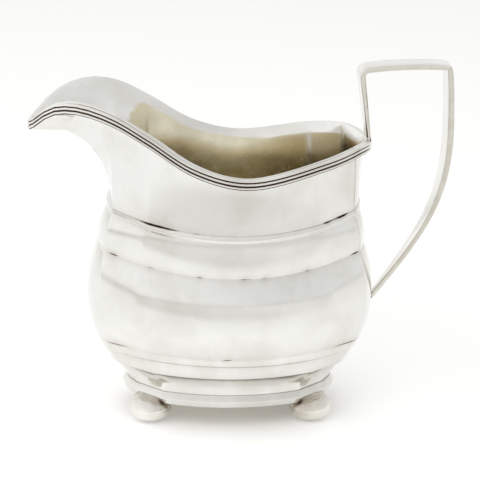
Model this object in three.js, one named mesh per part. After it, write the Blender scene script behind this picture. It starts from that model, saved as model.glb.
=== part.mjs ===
// Cream jug in silver: a canted, bellied body on four ball feet, with a wide lip and an angular strap
// handle. Millimetres, Z up. X runs from the lip (-) to the handle (+), Y across the jug, and the jug
// stands on z = 0. Every piece is modelled about the body's own upright axis; the whole group is then
// moved along X so that its bounding box is centred on the origin.
import * as THREE from 'three';
import { mergeVertices } from 'three/addons/utils/BufferGeometryUtils.js';

// ---------------------------------------------------------------- driving dimensions
const WALL = 0.7;            // silver sheet of the body
const GAP = 0.3;             // solder seam between neighbouring pieces

// Levels of the body at the middle of its long sides. Each ring is a rectangle with canted corners:
// half length and half width at the middle of the sides, how far the long sides and the ends bow out
// past the canted corners, and how much higher the ring climbs at its two ends. Each level stands its
// own rise above the one below it. Where the end under the lip bows out less, that is its lipBow.
const above = (below, rise, shape) => ({ ...shape, z: below.z + rise });
const BASE_EDGE = { z: 7.5, length: 34.4, width: 21.8, sideBow: 4.2, endBow: 3.4, climb: 0 };
const COLLAR = above(BASE_EDGE, 2.1, { length: 35.4, width: 22.7, sideBow: 4.3, endBow: 3.5, climb: 0 });
const COLLAR_TOP = above(COLLAR, 1.8, { length: 34.3, width: 21.5, sideBow: 4.3, endBow: 3.5, climb: 0 });
const SEAT_SETBACK = 0.4;    // the socle starts this far inside the collar it stands on
const SOCLE_FOOT = above(COLLAR_TOP, GAP, {
  ...COLLAR_TOP, length: COLLAR_TOP.length - SEAT_SETBACK, width: COLLAR_TOP.width - SEAT_SETBACK,
});
const SOCLE_BEAD = above(SOCLE_FOOT, 6.4, {
  length: 38.9, width: 24.4, sideBow: 5.8, endBow: 3.9, climb: 0,
});
const SOCLE_LEDGE = above(SOCLE_BEAD, 5.1, {
  length: 42.0, width: 26.8, sideBow: 7.2, endBow: 4.1, climb: 0.1,
});
const BELLY_STEP = above(SOCLE_LEDGE, 3.4, {
  length: 44.0, width: 29.2, sideBow: 8.6, endBow: 4.1, climb: 0.3,
});
const LOWER_GIRDLE = above(BELLY_STEP, 26.8, {
  length: 43.6, width: 31.2, sideBow: 9.0, endBow: 2.8, climb: 4.4,
});
const UPPER_GIRDLE = above(LOWER_GIRDLE, 14.6, {
  length: 41.6, width: 31.5, sideBow: 8.0, endBow: 2.8, lipBow: 1.6, climb: 4.2,
});
const BELLY_SWELL = { length: 2.9, width: 3.4 };      // fullest part of the belly, past its two girdles
const SHOULDER_SWELL = { length: 0.9, width: 0.6 };   // the same for the band between the girdles
const SOCLE_HOLLOW = { length: -0.7, width: -1.0 };   // hollow of the flare over the collar
const CORNER_SHARE = 0.72;   // where the long side ends, as a share of where the end does
const END_SHARE = 0.44;      // where the end ends, as a share of the half width
const STEP_OUT = 0.7;        // ledge under each girdle and step
const GIRDLE_HEIGHT = 2.2;   // moulded bead along the top of the belly shell

// Lip of the jug: half of the rim line, from under the handle to the point of the lip. Its heights are
// over the upper girdle.
const RIM_END = { x: 43.3, z: 23.8 };
const RIM_CORNERS = [
  { x: 37.8, y: 16.6, z: 24.9 },
  { x: 27.4, y: 26.3, z: 23.1 },
];
const RIM_SIDE = { x: 3.0, y: 33.7, z: 18.8 };
const RIM_RISE = [
  { x: -13, y: 32.9, z: 22.6 },
  { x: -27, y: 30.4, z: 31.1 },
  { x: -37, y: 26.8, z: 36.4 },
  { x: -47, y: 20.9, z: 38.8 },
  { x: -56.2, y: 11.0, z: 36.6 },
];
const LIP_POINT = { x: -64.0, z: 29.3 };
const NECK_SETBACK = 0.5;    // the neck starts this far inside the upper girdle
const THROAT_BOW = 0.9;      // its end under the lip bows out only this much
const NECK_UPRIGHT = 0.5;    // share of the neck's height that rises nearly straight
const FLARE_SHARE = 0.72;    // share of the neck's overhang that the flare makes
const FLARE_DROP = 3.4;      // height of the flare under the rim

// Reeded wire round the outside of the rim, in two halves.
const RIM_WIRE = { height: 3.2, thickness: 1.2, reeds: 3, reedDepth: 0.3, mitre: 0.3 };

// Strap handle, two strips that meet in a mitre at the outer corner. Their middle line lies in y = 0.
const STRAP = { width: 9.6, jointWidth: 3.0, thickness: 1.7, edge: 0.4, mitre: 0.3 };
const FOOT_THICKNESS = 1.0;          // the short leg thins down towards the rim
const BOW_THICKNESS = 2.0;           // the long leg is stoutest at its bow
const JOINT_THICKNESS = 1.3;         // and thinnest where it meets the belly
const BAR_LEG_SHARE = 0.45;          // share of the first strip over which it thickens
const BOW_SHARE = 0.25;              // share of the long leg that lies over its bow

// Line of the handle: x past the end of the rim, z over it.
const HANDLE_FOOT = { x: 0.3 };
const HANDLE_BEND = { x: -2.9, z: 22.8 };    // corner over the short leg, rounded to this radius
const BEND_RADIUS = 2.4;
const BAR_CROWN = { x: 11.7, z: 24.7 };      // the bar between the corners is slightly arched
const HANDLE_CORNER = { x: 25.1, z: 24.1 };
const HANDLE_BOW = { x: 26.4, z: 1.7 };      // fullest point of the long leg
const HANDLE_JOINT_RISE = 11.0;              // the long leg meets the belly this far over its step
const LEG_RUN = { x: 16.2, z: 22.5 };        // how the long leg leaves the belly
const TAPER_POWER = 1.3;

// Ball feet: two dished halves each, soldered at the middle, worn flat underneath.
const BALL = { radius: 7.1, halfHeight: 4.9, wall: 0.8, wearRadius: 1.8, vent: 1.0 };
const BALL_INSET = { x: 8.2, y: 8.9 };       // centres of the feet, in from the ends and sides of the base
const PLATE_THICKNESS = 1.0;
const PLATE_RECESS = 1.0;    // the base plate sits this far up inside the collar
const PLATE_GAP = 0.4;       // room for solder round its edge

// Mesh fineness
const SIDE_STEPS = 10;
const CANT_STEPS = 2;
const END_STEPS = 6;
const BALL_SIDES = 24;
const LEG_STEPS = 15;

// ---------------------------------------------------------------- rings and shells
const bowUnderLip = (ring) => ring.lipBow ?? ring.endBow;

// A ring part-way between two others, swelled out (or hollowed in) most at its middle.
function between(low, high, share, swell = { length: 0, width: 0 }) {
  const bulge = 4 * share * (1 - share);
  const mix = (name) => low[name] + (high[name] - low[name]) * share;
  const lipBow = bowUnderLip(low) + (bowUnderLip(high) - bowUnderLip(low)) * share;
  return {
    z: mix('z'),
    length: mix('length') + bulge * swell.length,
    width: mix('width') + bulge * swell.width,
    sideBow: mix('sideBow'),
    endBow: mix('endBow'),
    lipBow,
    climb: mix('climb'),
  };
}

const moved = (ring, out, up = 0) => ({
  ...ring, length: ring.length + out, width: ring.width + out, z: ring.z + up,
});

const levels = (count, make) => Array.from({ length: count + 1 }, (_, i) => make(i / count));

// Height of a ring at a distance x from the body's axis.
const heightOn = (ring, x) => ring.z + ring.climb * (x / ring.length) ** 2;

// Shape of a quarter of a ring, from the middle of the end to the middle of the long side.
function quarter(ring) {
  const endX = ring.length - ring.endBow;
  const cornerX = endX * CORNER_SHARE;
  const endY = ring.width * END_SHARE;
  const sideY = ring.width - ring.sideBow;
  const points = [];
  for (let i = 0; i < END_STEPS / 2; i += 1) {
    const share = i / (END_STEPS / 2);
    points.push([endX + ring.endBow * (1 - share ** 2), endY * share]);
  }
  for (let i = 0; i < CANT_STEPS; i += 1) {
    const share = i / CANT_STEPS;
    points.push([endX + (cornerX - endX) * share, endY + (sideY - endY) * share]);
  }
  for (let i = 0; i <= SIDE_STEPS / 2; i += 1) {
    const share = 1 - i / (SIDE_STEPS / 2);
    points.push([cornerX * share, sideY + ring.sideBow * (1 - share ** 2)]);
  }
  return points;
}

// Points round the whole ring, counter-clockwise seen from above.
function ringPoints(ring) {
  const place = (half, signX, signY) => ([x, y]) => (
    new THREE.Vector3(signX * x, signY * y, heightOn(half, x))
  );
  const lipBow = bowUnderLip(ring);
  const lipRing = { ...ring, length: ring.length - ring.endBow + lipBow, endBow: lipBow };
  const handleHalf = quarter(ring);
  const lipHalf = quarter(lipRing);
  return [
    ...handleHalf.slice(0, -1).map(place(ring, 1, 1)),
    ...lipHalf.slice(1).reverse().map(place(lipRing, -1, 1)),
    ...lipHalf.slice(0, -1).map(place(lipRing, -1, -1)),
    ...handleHalf.slice(1).reverse().map(place(ring, 1, -1)),
  ];
}

// A surface is a list of rings from bottom to top. Its copy, one wall further in:
function inside(rows, wall) {
  return rows.map((row, level) => row.map((point, i) => {
    const along = row[(i + 1) % row.length].clone().sub(row[(i + row.length - 1) % row.length]);
    const above = rows[Math.min(level + 1, rows.length - 1)][i];
    const below = rows[Math.max(level - 1, 0)][i];
    const outward = along.cross(above.clone().sub(below)).normalize();
    return point.clone().addScaledVector(outward, -wall);
  }));
}

// Closed band of rings: up the outside, over the edge, down the inside and back.
function closedBand(rows) {
  const across = rows[0].length;
  const positions = rows.flat().flatMap((point) => point.toArray());
  const triangles = [];
  rows.forEach((_, level) => {
    const low = level * across;
    const high = ((level + 1) % rows.length) * across;
    for (let i = 0; i < across; i += 1) {
      const next = (i + 1) % across;
      triangles.push(low + i, low + next, high + next, low + i, high + next, high + i);
    }
  });
  return indexed(positions, triangles);
}

// Closed solid whose rings end in a flat cap at both ends.
function cappedBand(rows) {
  const across = rows[0].length;
  const positions = rows.flat().flatMap((point) => point.toArray());
  const triangles = [];
  for (let level = 0; level < rows.length - 1; level += 1) {
    const low = level * across;
    const high = low + across;
    for (let i = 0; i < across; i += 1) {
      const next = (i + 1) % across;
      triangles.push(low + i, low + next, high + next, low + i, high + next, high + i);
    }
  }
  [rows[0], rows[rows.length - 1]].forEach((row, end) => {
    const middle = row.reduce((sum, point) => sum.add(point), new THREE.Vector3());
    middle.divideScalar(across);
    const hub = positions.length / 3;
    positions.push(...middle.toArray());
    const start = end === 0 ? 0 : (rows.length - 1) * across;
    for (let i = 0; i < across; i += 1) {
      const next = (i + 1) % across;
      if (end === 0) triangles.push(hub, start + next, start + i);
      else triangles.push(hub, start + i, start + next);
    }
  });
  return indexed(positions, triangles);
}

function indexed(positions, triangles) {
  const geometry = new THREE.BufferGeometry();
  geometry.setAttribute('position', new THREE.Float32BufferAttribute(positions, 3));
  geometry.setIndex(triangles);
  const merged = mergeVertices(geometry, 1e-4);
  merged.computeVertexNormals();
  return merged;
}

const shellOf = (rows, wall = WALL) => closedBand([...rows, ...inside(rows, wall).reverse()]);

// ---------------------------------------------------------------- body
function baseRing() {
  return shellOf([BASE_EDGE, COLLAR, COLLAR_TOP].map(ringPoints));
}

function socleShell() {
  const flare = levels(4, (share) => between(SOCLE_FOOT, SOCLE_BEAD, share, SOCLE_HOLLOW));
  const bead = [moved(SOCLE_BEAD, STEP_OUT, 0.5), between(moved(SOCLE_BEAD, STEP_OUT), SOCLE_LEDGE, 0.6)];
  const ledge = [SOCLE_LEDGE, moved(SOCLE_LEDGE, STEP_OUT, 0.6), moved(BELLY_STEP, -STEP_OUT, -GAP)];
  return shellOf([...flare, ...bead, ...ledge].map(ringPoints));
}

// The belly's top edge turns in as a narrow flange, which the neck stands on.
function bellyShell() {
  const belly = levels(6, (share) => between(BELLY_STEP, LOWER_GIRDLE, share, BELLY_SWELL));
  const crease = moved(LOWER_GIRDLE, -STEP_OUT / 2, 0.7);
  const shoulderTop = moved(UPPER_GIRDLE, -STEP_OUT / 2, -GIRDLE_HEIGHT);
  const shoulder = levels(3, (share) => between(crease, shoulderTop, share, SHOULDER_SWELL));
  const bead = [moved(UPPER_GIRDLE, 0.2, -GIRDLE_HEIGHT * 0.6), UPPER_GIRDLE];
  const outer = [...belly, ...shoulder, ...bead].map(ringPoints);
  const inner = inside(outer, WALL).slice(0, -1);
  const flange = { ...moved(UPPER_GIRDLE, -NECK_SETBACK - WALL), lipBow: THROAT_BOW };
  const under = [moved(flange, 0, -WALL), moved(UPPER_GIRDLE, -WALL, -WALL)];
  return closedBand([...outer, ...[flange, ...under].map(ringPoints), ...inner.reverse()]);
}

// Flat sheet that closes the bottom, just inside the collar.
function basePlate() {
  const edge = moved(BASE_EDGE, -(WALL + PLATE_GAP), PLATE_RECESS);
  return cappedBand([edge, moved(edge, 0, PLATE_THICKNESS)].map(ringPoints));
}

// ---------------------------------------------------------------- neck and rim
const vector = ({ x, y = 0, z }) => new THREE.Vector3(x, y, UPPER_GIRDLE.z + z);

// Points of half the rim, in the order of the rings' points, and the whole rim from them.
function rimHalf() {
  const mirrored = (points) => points.map((p) => ({ ...p, y: -p.y }));
  const handleSide = [RIM_END, ...RIM_CORNERS, RIM_SIDE];
  const lipSide = [...RIM_RISE, LIP_POINT];
  const line = new THREE.CatmullRomCurve3(
    [...mirrored([RIM_CORNERS[0]]), ...handleSide, ...lipSide, ...mirrored([RIM_RISE.at(-1)])].map(vector),
    false, 'centripetal',
  );
  const pieces = handleSide.length + lipSide.length + 1;
  const at = (knot) => line.getPoint(knot / pieces);
  const sideStart = 1 + 2;                    // knot of the second corner by the handle
  const lipCorner = 1 + handleSide.length + 2;  // knot where the lip starts to narrow
  const lastKnot = pieces - 1;
  const cut = (from, to, steps) => levels(steps, (share) => at(from + (to - from) * share)).slice(0, -1);
  return [
    ...cut(1, 2, END_STEPS / 2), ...cut(2, sideStart, CANT_STEPS),
    ...cut(sideStart, lipCorner - 1, SIDE_STEPS), ...cut(lipCorner - 1, lipCorner, CANT_STEPS),
    ...cut(lipCorner, lastKnot, END_STEPS / 2), at(lastKnot),
  ];
}

function rimPoints() {
  const half = rimHalf();
  const back = half.slice(1, -1).reverse().map((p) => new THREE.Vector3(p.x, -p.y, p.z));
  return [...half, ...back];
}

// The neck rises from the upper girdle and flares out to the rim line.
function neckRows() {
  const foot = ringPoints({ ...moved(UPPER_GIRDLE, -NECK_SETBACK, GAP), lipBow: THROAT_BOW });
  const rim = rimPoints();
  const spans = [0, 0.18, 0.36, 0.54, 0.7, 0.84, 0.93, 1];
  const meridians = foot.map((low, i) => {
    const high = rim[i];
    const reach = high.clone().sub(low);
    const upright = low.clone().add(new THREE.Vector3(0, 0, reach.z * NECK_UPRIGHT));
    const overhang = new THREE.Vector3(reach.x * FLARE_SHARE, reach.y * FLARE_SHARE, FLARE_DROP);
    const flare = high.clone().sub(overhang);
    return new THREE.CubicBezierCurve3(low, upright, flare, high);
  });
  return spans.map((span) => meridians.map((curve) => curve.getPoint(span)));
}

// Section of the reeded wire, which hangs upright from the edge of the rim: [out, down].
function wireSection() {
  const { height, thickness, reeds, reedDepth } = RIM_WIRE;
  const reed = height / reeds;
  const face = [[thickness - reedDepth, 0]];
  for (let i = 0; i < reeds; i += 1) {
    face.push([thickness, reed * (i + 0.5)], [thickness - reedDepth, reed * (i + 1)]);
  }
  return [[0, 0], ...face, [0, height]];
}

function rimWire(side) {
  const top = rimPoints();
  const count = top.length;
  const down = new THREE.Vector3(0, 0, -1);
  const stations = levels(count / 2, (share) => {
    const i = Math.round(share * (count / 2));
    const index = side > 0 ? i : (count - i) % count;
    const along = top[(index + 1) % count].clone().sub(top[(index + count - 1) % count]).normalize();
    return { place: top[index], out: down.clone().cross(along).normalize() };
  });
  const loop = stations.map(({ place, out }) => wireSection().map(([away, drop]) => (
    place.clone().addScaledVector(out, GAP + away).addScaledVector(down, drop)
  )));
  return cappedBand(side > 0 ? loop : loop.reverse());
}

// ---------------------------------------------------------------- handle
// Highest point of the rim under the foot of the short leg.
function lipTopUnderHandle() {
  const rows = neckRows();
  const edge = [...rows.at(-1), ...inside(rows, WALL).at(-1)];
  const under = edge.filter(({ x, y }) => x > 0 && Math.abs(y) < STRAP.width);
  return Math.max(...under.map(({ z }) => z));
}

const flat = (x, z) => new THREE.Vector2(x, z);
const mixed = (low, high, share) => low + (high - low) * share;
const upTo = (curve, steps) => levels(steps, (share) => curve.getPoint(share));

// A strip along a line in the plane y = 0. Its ends are cut along the given directions, and its
// thickness and width are functions of the share of its length.
function strip(line, startCut, endCut, thicknessAt, widthAt) {
  const last = line.length - 1;
  const walked = line.map(() => 0);
  for (let i = 1; i <= last; i += 1) walked[i] = walked[i - 1] + line[i].distanceTo(line[i - 1]);
  const rows = line.map((point, i) => {
    const way = line[Math.min(i + 1, last)].clone().sub(line[Math.max(i - 1, 0)]).normalize();
    const square = flat(-way.y, way.x);
    let cut = square;
    if (i === 0) cut = startCut.clone().normalize();
    if (i === last) cut = endCut.clone().normalize();
    const share = walked[i] / walked[last];
    const stretch = 1 / square.dot(cut);
    return strapSection(thicknessAt(share) * stretch, widthAt(share)).map(([outward, sideways]) => (
      new THREE.Vector3(point.x + cut.x * outward, sideways, point.y + cut.y * outward)
    ));
  });
  return cappedBand(rows.map((row) => row.reverse()));
}

// Section of the strap across its thickness and width, with its edges taken off.
function strapSection(thickness, width) {
  const t = thickness / 2;
  const w = width / 2;
  const e = STRAP.edge;
  return [
    [t, -w + e], [t, w - e], [t - e, w], [-t + e, w],
    [-t, w - e], [-t, -w + e], [-t + e, -w], [t - e, -w],
  ];
}

// Point of the handle's line, and the mitre at its outer corner, which halves the angle between the
// bar and the long leg.
const onHandle = (x, z) => flat(RIM_END.x + x, UPPER_GIRDLE.z + RIM_END.z + z);
const corner = onHandle(HANDLE_CORNER.x, HANDLE_CORNER.z);
const crown = onHandle(BAR_CROWN.x, BAR_CROWN.z);
const bow = onHandle(HANDLE_BOW.x, HANDLE_BOW.z);
const legTop = onHandle(HANDLE_BOW.x, mixed(HANDLE_CORNER.z, HANDLE_BOW.z, 0.5));
const barWay = corner.clone().sub(crown).normalize();
const legWay = legTop.clone().sub(corner).normalize();
const mitreCut = barWay.clone().sub(legWay).normalize();

// Short leg and bar, bent from one strip.
function handleBar() {
  const bend = onHandle(HANDLE_BEND.x, HANDLE_BEND.z);
  const foot = flat(RIM_END.x + HANDLE_FOOT.x, lipTopUnderHandle() + GAP);
  const legEnd = bend.clone().addScaledVector(foot.clone().sub(bend).normalize(), BEND_RADIUS);
  const barStart = bend.clone().addScaledVector(crown.clone().sub(bend).normalize(), BEND_RADIUS);
  const end = corner.clone().addScaledVector(barWay, -STRAP.mitre / 2);
  const line = [
    ...upTo(new THREE.LineCurve(foot, legEnd), 3).slice(0, -1),
    ...upTo(new THREE.QuadraticBezierCurve(legEnd, bend, barStart), 4).slice(0, -1),
    ...upTo(new THREE.QuadraticBezierCurve(barStart, crown, end), 6),
  ];
  const thickness = (share) => mixed(FOOT_THICKNESS, STRAP.thickness, Math.min(1, share / BAR_LEG_SHARE));
  return strip(line, flat(-1, 0), mitreCut, thickness, () => STRAP.width);
}

// Half length of the belly at a height, on the middle of its end.
function bellyEndAt(height) {
  let low = 0;
  let high = 1;
  for (let i = 0; i < 30; i += 1) {
    const middle = (low + high) / 2;
    const ring = between(BELLY_STEP, LOWER_GIRDLE, middle, BELLY_SWELL);
    if (ring.z + ring.climb < height) low = middle;
    else high = middle;
  }
  return between(BELLY_STEP, LOWER_GIRDLE, low, BELLY_SWELL).length;
}

// Long leg, from the mitre down to the belly.
function handleLeg() {
  const jointHeight = BELLY_STEP.z + HANDLE_JOINT_RISE;
  const joint = flat(bellyEndAt(jointHeight) + GAP, jointHeight);
  const start = corner.clone().addScaledVector(legWay, STRAP.mitre / 2);
  const upper = new THREE.QuadraticBezierCurve(start, legTop, bow);
  const lower = new THREE.CubicBezierCurve(
    bow, flat(bow.x, bow.y - LEG_RUN.z), flat(joint.x + LEG_RUN.x, joint.y + LEG_RUN.z), joint,
  );
  const line = [...upTo(upper, 5).slice(0, -1), ...upTo(lower, LEG_STEPS)];
  const taper = (share) => Math.max(0, (share - BOW_SHARE) / (1 - BOW_SHARE));
  const thickness = (share) => (share < BOW_SHARE
    ? mixed(STRAP.thickness, BOW_THICKNESS, share / BOW_SHARE)
    : mixed(BOW_THICKNESS, JOINT_THICKNESS, taper(share)));
  const width = (share) => mixed(STRAP.width, STRAP.jointWidth, taper(share) ** TAPER_POWER);
  return strip(line, mitreCut, flat(0, 1), thickness, width);
}

// ---------------------------------------------------------------- ball feet
const ballCentre = BALL.halfHeight * Math.sqrt(1 - (BALL.wearRadius / BALL.radius) ** 2);
const seatHeight = BASE_EDGE.z - GAP;

// Radius of the ball's outer or inner skin at a height over the ground.
function ballRadius(height, wall = 0) {
  const share = (height - ballCentre) / (BALL.halfHeight - wall);
  return (BALL.radius - wall) * Math.sqrt(Math.max(0, 1 - share ** 2));
}

const circle = (radius, height) => Array.from({ length: BALL_SIDES }, (_, i) => {
  const angle = (2 * Math.PI * i) / BALL_SIDES;
  return new THREE.Vector3(radius * Math.cos(angle), radius * Math.sin(angle), height);
});

// Lower half: a dish with a worn flat underneath, open at the seam.
function footLower() {
  const seam = ballCentre - GAP / 2;
  const skin = [0, 0.1, 0.28, 0.55, 1].map((share) => circle(ballRadius(seam * share), seam * share));
  const floor = BALL.wall;
  const lining = [1, 0.5, 0.15].map((share) => {
    const height = floor + (seam - floor) * share;
    return circle(ballRadius(height, BALL.wall), height);
  });
  return cappedBand([...skin, ...lining, circle(BALL.wearRadius * 0.6, floor)]);
}

// Upper half: a dish turned over, cut off at its seat under the base, with a vent hole in the top.
function footUpper() {
  const seam = ballCentre + GAP / 2;
  const shares = [0, 0.5, 1];
  const ceiling = seatHeight - BALL.wall;
  const skin = shares.map((share) => {
    const height = seam + (seatHeight - seam) * share;
    return circle(ballRadius(height), height);
  });
  const lining = shares.map((share) => {
    const height = ceiling + (seam - ceiling) * share;
    return circle(ballRadius(height, BALL.wall), height);
  });
  return closedBand([...skin, circle(BALL.vent, seatHeight), circle(BALL.vent, ceiling), ...lining]);
}

// ---------------------------------------------------------------- assembly
const silver = (color, roughness) => new THREE.MeshStandardMaterial({ color, roughness, metalness: 1 });
const FINISH = {
  outside: silver(0xe4e2dc, 0.18),
  inside: silver(0xb8ae92, 0.3),
  trim: silver(0xd9d4ca, 0.22),
};

const jug = new THREE.Group();

function add(name, geometry, finish, x = 0, y = 0) {
  const mesh = new THREE.Mesh(geometry, finish.clone());
  mesh.name = name;
  mesh.position.set(x, y, 0);
  jug.add(mesh);
}

add('base_plate', basePlate(), FINISH.inside);
add('base_ring', baseRing(), FINISH.outside);
add('socle_shell', socleShell(), FINISH.outside);
add('belly_shell', bellyShell(), FINISH.outside);
add('neck_shell', shellOf(neckRows()), FINISH.outside);
add('rim_wire_back', rimWire(1), FINISH.trim, 0, RIM_WIRE.mitre / 2);
add('rim_wire_front', rimWire(-1), FINISH.trim, 0, -RIM_WIRE.mitre / 2);
add('handle_bar', handleBar(), FINISH.trim);
add('handle_leg', handleLeg(), FINISH.trim);
for (const [endName, signX] of [['lip', -1], ['handle', 1]]) {
  for (const [sideName, signY] of [['front', -1], ['back', 1]]) {
    const place = [signX * (BASE_EDGE.length - BALL_INSET.x), signY * (BASE_EDGE.width - BALL_INSET.y)];
    add(`foot_lower_${sideName}_${endName}`, footLower(), FINISH.trim, ...place);
    add(`foot_upper_${sideName}_${endName}`, footUpper(), FINISH.trim, ...place);
  }
}

const box = new THREE.Box3().setFromObject(jug, true);
jug.position.x = -(box.min.x + box.max.x) / 2;

export default jug;
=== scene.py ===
import math

import bpy
import bmesh
import numpy as np
from mathutils import Matrix, Vector, noise


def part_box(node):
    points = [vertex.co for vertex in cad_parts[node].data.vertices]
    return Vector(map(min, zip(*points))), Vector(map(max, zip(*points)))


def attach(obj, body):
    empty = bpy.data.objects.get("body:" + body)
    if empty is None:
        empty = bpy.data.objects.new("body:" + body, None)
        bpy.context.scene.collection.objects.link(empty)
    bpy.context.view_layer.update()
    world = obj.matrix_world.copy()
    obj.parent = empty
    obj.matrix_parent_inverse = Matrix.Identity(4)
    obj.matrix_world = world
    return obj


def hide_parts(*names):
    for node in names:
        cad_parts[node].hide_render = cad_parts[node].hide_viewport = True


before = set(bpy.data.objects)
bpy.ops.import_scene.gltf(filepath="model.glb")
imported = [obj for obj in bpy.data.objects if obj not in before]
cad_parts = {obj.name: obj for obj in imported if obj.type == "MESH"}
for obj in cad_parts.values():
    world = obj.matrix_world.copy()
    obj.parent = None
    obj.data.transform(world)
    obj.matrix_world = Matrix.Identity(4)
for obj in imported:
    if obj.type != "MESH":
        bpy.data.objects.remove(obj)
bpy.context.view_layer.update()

MM = 0.001
ring_low, ring_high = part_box("base_ring")
AXIS_X = (ring_low.x + ring_high.x) / 2 / MM      # upright axis of the body
BASE_Z = ring_low.z / MM                          # lower edge of the base ring

# ------------------------------------------------------------------ dimensions of the jug
WALL = 0.7

# A level of the body: height, half length, half width, bow of the long sides, bow of the end by the
# handle and of the end under the lip, climb
Z, LENGTH, WIDTH, SIDE_BOW, END_BOW, LIP_BOW, CLIMB = range(7)


def above(below, rise, *shape):
    return np.array([below[Z] + rise, *shape])


BASE_EDGE = np.array([BASE_Z, 34.4, 21.8, 4.2, 3.4, 3.4, 0])
COLLAR = above(BASE_EDGE, 2.1, 35.4, 22.7, 4.3, 3.5, 3.5, 0)
COLLAR_TOP = above(COLLAR, 1.8, 34.3, 21.5, 4.3, 3.5, 3.5, 0)
SOCLE_FOOT = above(COLLAR_TOP, 0, 33.9, 21.1, 4.3, 3.5, 3.5, 0)
SOCLE_BEAD = above(SOCLE_FOOT, 6.7, 38.9, 24.4, 5.8, 3.9, 3.9, 0)
SOCLE_LEDGE = above(SOCLE_BEAD, 5.1, 42.0, 26.8, 7.2, 4.1, 4.1, 0.1)
BELLY_STEP = above(SOCLE_LEDGE, 3.4, 44.0, 29.2, 8.6, 4.1, 4.1, 0.3)
LOWER_GIRDLE = above(BELLY_STEP, 26.8, 43.6, 31.2, 9.0, 2.8, 2.8, 4.4)
UPPER_GIRDLE = above(LOWER_GIRDLE, 14.6, 41.6, 31.5, 8.0, 2.8, 1.6, 4.2)
# Swells: extra half length and half width, half way between two levels
BELLY_SWELL = (2.9, 3.4)
SHOULDER_SWELL = (0.9, 0.6)
SOCLE_HOLLOW = (-0.7, -1.0)
CORNER_SHARE = 0.72
END_SHARE = 0.44
STEP_OUT = 0.7
GIRDLE_HEIGHT = 2.2
NECK_SETBACK = 0.5
THROAT_BOW = 0.9
NECK_UPRIGHT = 0.5
FLARE_SHARE = 0.72
FLARE_DROP = 3.4

# Half of the rim line, from under the handle to the point of the lip; heights are over the upper girdle
RIM_END = (43.3, 0, 23.8)
RIM_CORNERS = [(37.8, 16.6, 24.9), (27.4, 26.3, 23.1)]
RIM_SIDE = (3.0, 33.7, 18.8)
RIM_RISE = [(-13, 32.9, 22.6), (-27, 30.4, 31.1), (-37, 26.8, 36.4), (-47, 20.9, 38.8), (-56.2, 11.0, 36.6)]
LIP_POINT = (-64.0, 0, 29.3)
WIRE_HEIGHT = 3.2
WIRE_THICKNESS = 1.5
REED_EDGES = [(-0.1, 0.68), (1.0, 1.78), (2.2, 2.9)]      # from and to, down the front of the wire
REED_DEPTH = 0.5
GROOVE_TARNISH = (0.85, 1.0, 0.8)

STRAP_WIDTH = 9.6
STRAP_THICKNESS = 1.7
STRAP_EDGE = 0.32
STRAP_CROWN = 0.08
FOOT_THICKNESS = 1.0
BOW_THICKNESS = 2.0
JOINT_THICKNESS = 1.3
JOINT_WIDTH = 3.0
BAR_LEG_SHARE = 0.45
BOW_SHARE = 0.25
HANDLE_BEND = (-2.9, 22.8)
BEND_RADIUS = 2.4
BAR_CROWN = (11.7, 24.7)
HANDLE_CORNER = (25.1, 24.1)
HANDLE_BOW = (26.4, 1.7)
HANDLE_JOINT_RISE = 11.0
LEG_RUN = (16.2, 22.5)
TAPER_POWER = 1.3

BALL_RADIUS = 7.1
BALL_HALF_HEIGHT = 4.9
BALL_WEAR = 1.8
BALL_INSET = (8.2, 8.9)

# ------------------------------------------------------------------ outline of a level
END_TURN = 0.26          # a quarter turn is 0 to 1: the end, then the cant, then the long side
CANT_TURN = 0.52
RIDGE_REACH = 0.018      # the ridges between the facets are rounded over this share of a quarter
TAPS = np.linspace(-1, 1, 9)
TAP_WEIGHTS = (1 - np.abs(TAPS) * 0.8) / (1 - np.abs(TAPS) * 0.8).sum()


def column_turns():
    """Turns of the columns round the body, 0 to 4, closer together at the ridges."""
    run = np.concatenate([
        np.linspace(0, END_TURN, 9)[:-1], np.linspace(END_TURN, CANT_TURN, 9)[:-1],
        np.linspace(CANT_TURN, 1, 14),
    ])
    clear = 1.6 * RIDGE_REACH
    run = run[(np.abs(run - END_TURN) > clear) & (np.abs(run - CANT_TURN) > clear)]
    near = np.linspace(-1.5, 1.5, 9) * RIDGE_REACH
    quarter = np.sort(np.concatenate([run, END_TURN + near, CANT_TURN + near]))
    half = np.concatenate([quarter[:-1], 2 - quarter[::-1]])
    return np.concatenate([half[:-1], 4 - half[::-1]])[:-1]


TURNS = column_turns()


def sharp_outline(level, turns):
    """Points of a level at the given turns, before its ridges are rounded."""
    turns = np.mod(turns, 4)
    fold = np.where(turns > 2, 4 - turns, turns)
    t = np.where(fold > 1, 2 - fold, fold)
    on_lip_half = fold > 1
    end_bow = np.where(on_lip_half, level[LIP_BOW], level[END_BOW])
    end_x = level[LENGTH] - level[END_BOW]
    length = end_x + end_bow
    corner_x = end_x * CORNER_SHARE
    end_y = level[WIDTH] * END_SHARE
    side_y = level[WIDTH] - level[SIDE_BOW]
    end = np.clip(t / END_TURN, 0, 1)
    cant = np.clip((t - END_TURN) / (CANT_TURN - END_TURN), 0, 1)
    side = np.clip((t - CANT_TURN) / (1 - CANT_TURN), 0, 1)
    x = end_x + end_bow * (1 - end ** 2) + (corner_x - end_x) * cant - corner_x * side
    y = end_y * end + (side_y - end_y) * cant + level[SIDE_BOW] * np.where(side > 0, 1 - (1 - side) ** 2, 0)
    x = np.where(on_lip_half, -x, x)
    y = np.where(turns > 2, -y, y)
    z = level[Z] + level[CLIMB] * (x / length) ** 2
    return np.stack([x, y, z], axis=-1)


def softened(place, turns):
    """Average of place(turns) over a short reach, which rounds its ridges."""
    return sum(w * place(turns + tap * RIDGE_REACH) for tap, w in zip(TAPS, TAP_WEIGHTS))


def outline(level):
    return softened(lambda turns: sharp_outline(level, turns), TURNS)


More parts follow.
